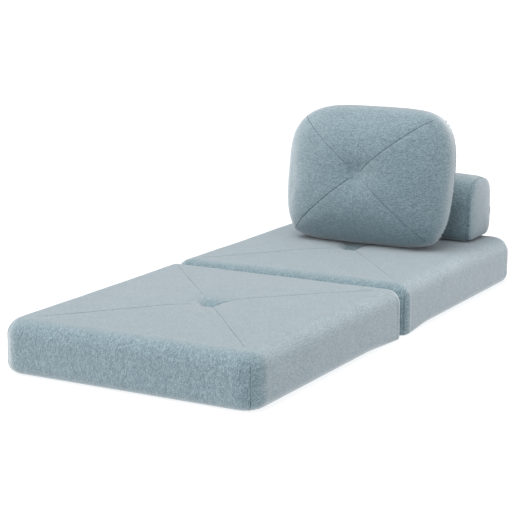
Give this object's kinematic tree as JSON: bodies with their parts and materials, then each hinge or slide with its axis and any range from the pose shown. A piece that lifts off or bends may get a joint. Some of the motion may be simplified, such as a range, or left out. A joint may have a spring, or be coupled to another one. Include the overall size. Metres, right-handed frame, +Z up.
{
  "type": "single sofa bed",
  "caption": "Tufted single sofa bed of two hinged foam blocks that fold up into a chair seat, with a loose bolster and a loose leaning back cushion in zipped woven covers.",
  "frame": {"origin": "on the floor under the middle of the groove between the two blocks, the centre of the unfolded bed's footprint", "axes": "+Y along the bed from the foot block to the block with the bolster, +Z up, +X to the right seen from the foot"},
  "size_m": [0.9, 2, 0.6754],
  "materials": {
    "upholstery": "matte",
    "gusset_cloth": "matte",
    "base_cloth": "matte",
    "firm_foam": "matte",
    "soft_fill": "matte",
    "tufting_cord": "matte",
    "anchor_plastic": "matte",
    "zip_cloth": "matte",
    "slider_zinc": "satin"
  },
  "bodies": {
    "rear_block": {"rear_cover": "upholstery", "rear_base_panel": "base_cloth", "rear_foam_core": "firm_foam", "rear_comfort_layer": "soft_fill", "rear_tuft_anchor": "anchor_plastic", "rear_tuft_cord": "tufting_cord", "rear_zip_tape": "zip_cloth", "hinge_gusset_rear": "gusset_cloth"},
    "front_block": {"front_cover": "upholstery", "front_base_panel": "base_cloth", "front_foam_core": "firm_foam", "front_comfort_layer": "soft_fill", "front_tuft_anchor": "anchor_plastic", "front_tuft_cord": "tufting_cord", "front_zip_tape": "zip_cloth", "hinge_gusset_front": "gusset_cloth"},
    "bolster": {"bolster_cover": "upholstery", "bolster_end_cap_left": "upholstery", "bolster_end_cap_right": "upholstery", "bolster_foam_core": "firm_foam", "bolster_label_tab": "zip_cloth", "bolster_zip_tape": "zip_cloth"},
    "cushion": {"cushion_front_panel": "upholstery", "cushion_back_panel": "upholstery", "cushion_fibre_core": "soft_fill", "cushion_tuft_anchor": "anchor_plastic", "cushion_tuft_cord": "tufting_cord", "cushion_zip_tape": "zip_cloth"},
    "front_slider": {"front_zip_slider": "slider_zinc"},
    "rear_slider": {"rear_zip_slider": "slider_zinc"},
    "bolster_slider": {"bolster_zip_slider": "slider_zinc"},
    "cushion_slider": {"cushion_zip_slider": "slider_zinc"}
  },
  "joints": [
    {"name": "fold", "type": "hinge", "parent": "rear_block", "child": "front_block", "pos_m": [0, 0, 0.177], "axis": [-1, 0, 0], "range_deg": [0, 180]},
    {"name": "backrest_lift", "type": "slide", "parent": "rear_block", "child": "bolster", "axis": [0, 0.952, 0.3061], "range_m": [0, 0.589]},
    {"name": "cushion_lift", "type": "slide", "parent": "bolster", "child": "cushion", "axis": [0, 0, 1], "range_m": [0, 0.3]},
    {"name": "front_zip", "type": "slide", "parent": "front_block", "child": "front_slider", "axis": [0, 1, 0], "range_m": [0, 0.59]},
    {"name": "rear_zip", "type": "slide", "parent": "rear_block", "child": "rear_slider", "axis": [1, 0, 0], "range_m": [0, 0.67]},
    {"name": "bolster_zip", "type": "slide", "parent": "bolster", "child": "bolster_slider", "axis": [1, 0, 0], "range_m": [0, 0.46]},
    {"name": "cushion_zip", "type": "slide", "parent": "cushion", "child": "cushion_slider", "axis": [1, 0, 0], "range_m": [0, 0.26]}
  ],
  "couplings": [
    {"joint": "backrest_lift", "follows": "fold", "m_per_rad": 0.1872}
  ]
}
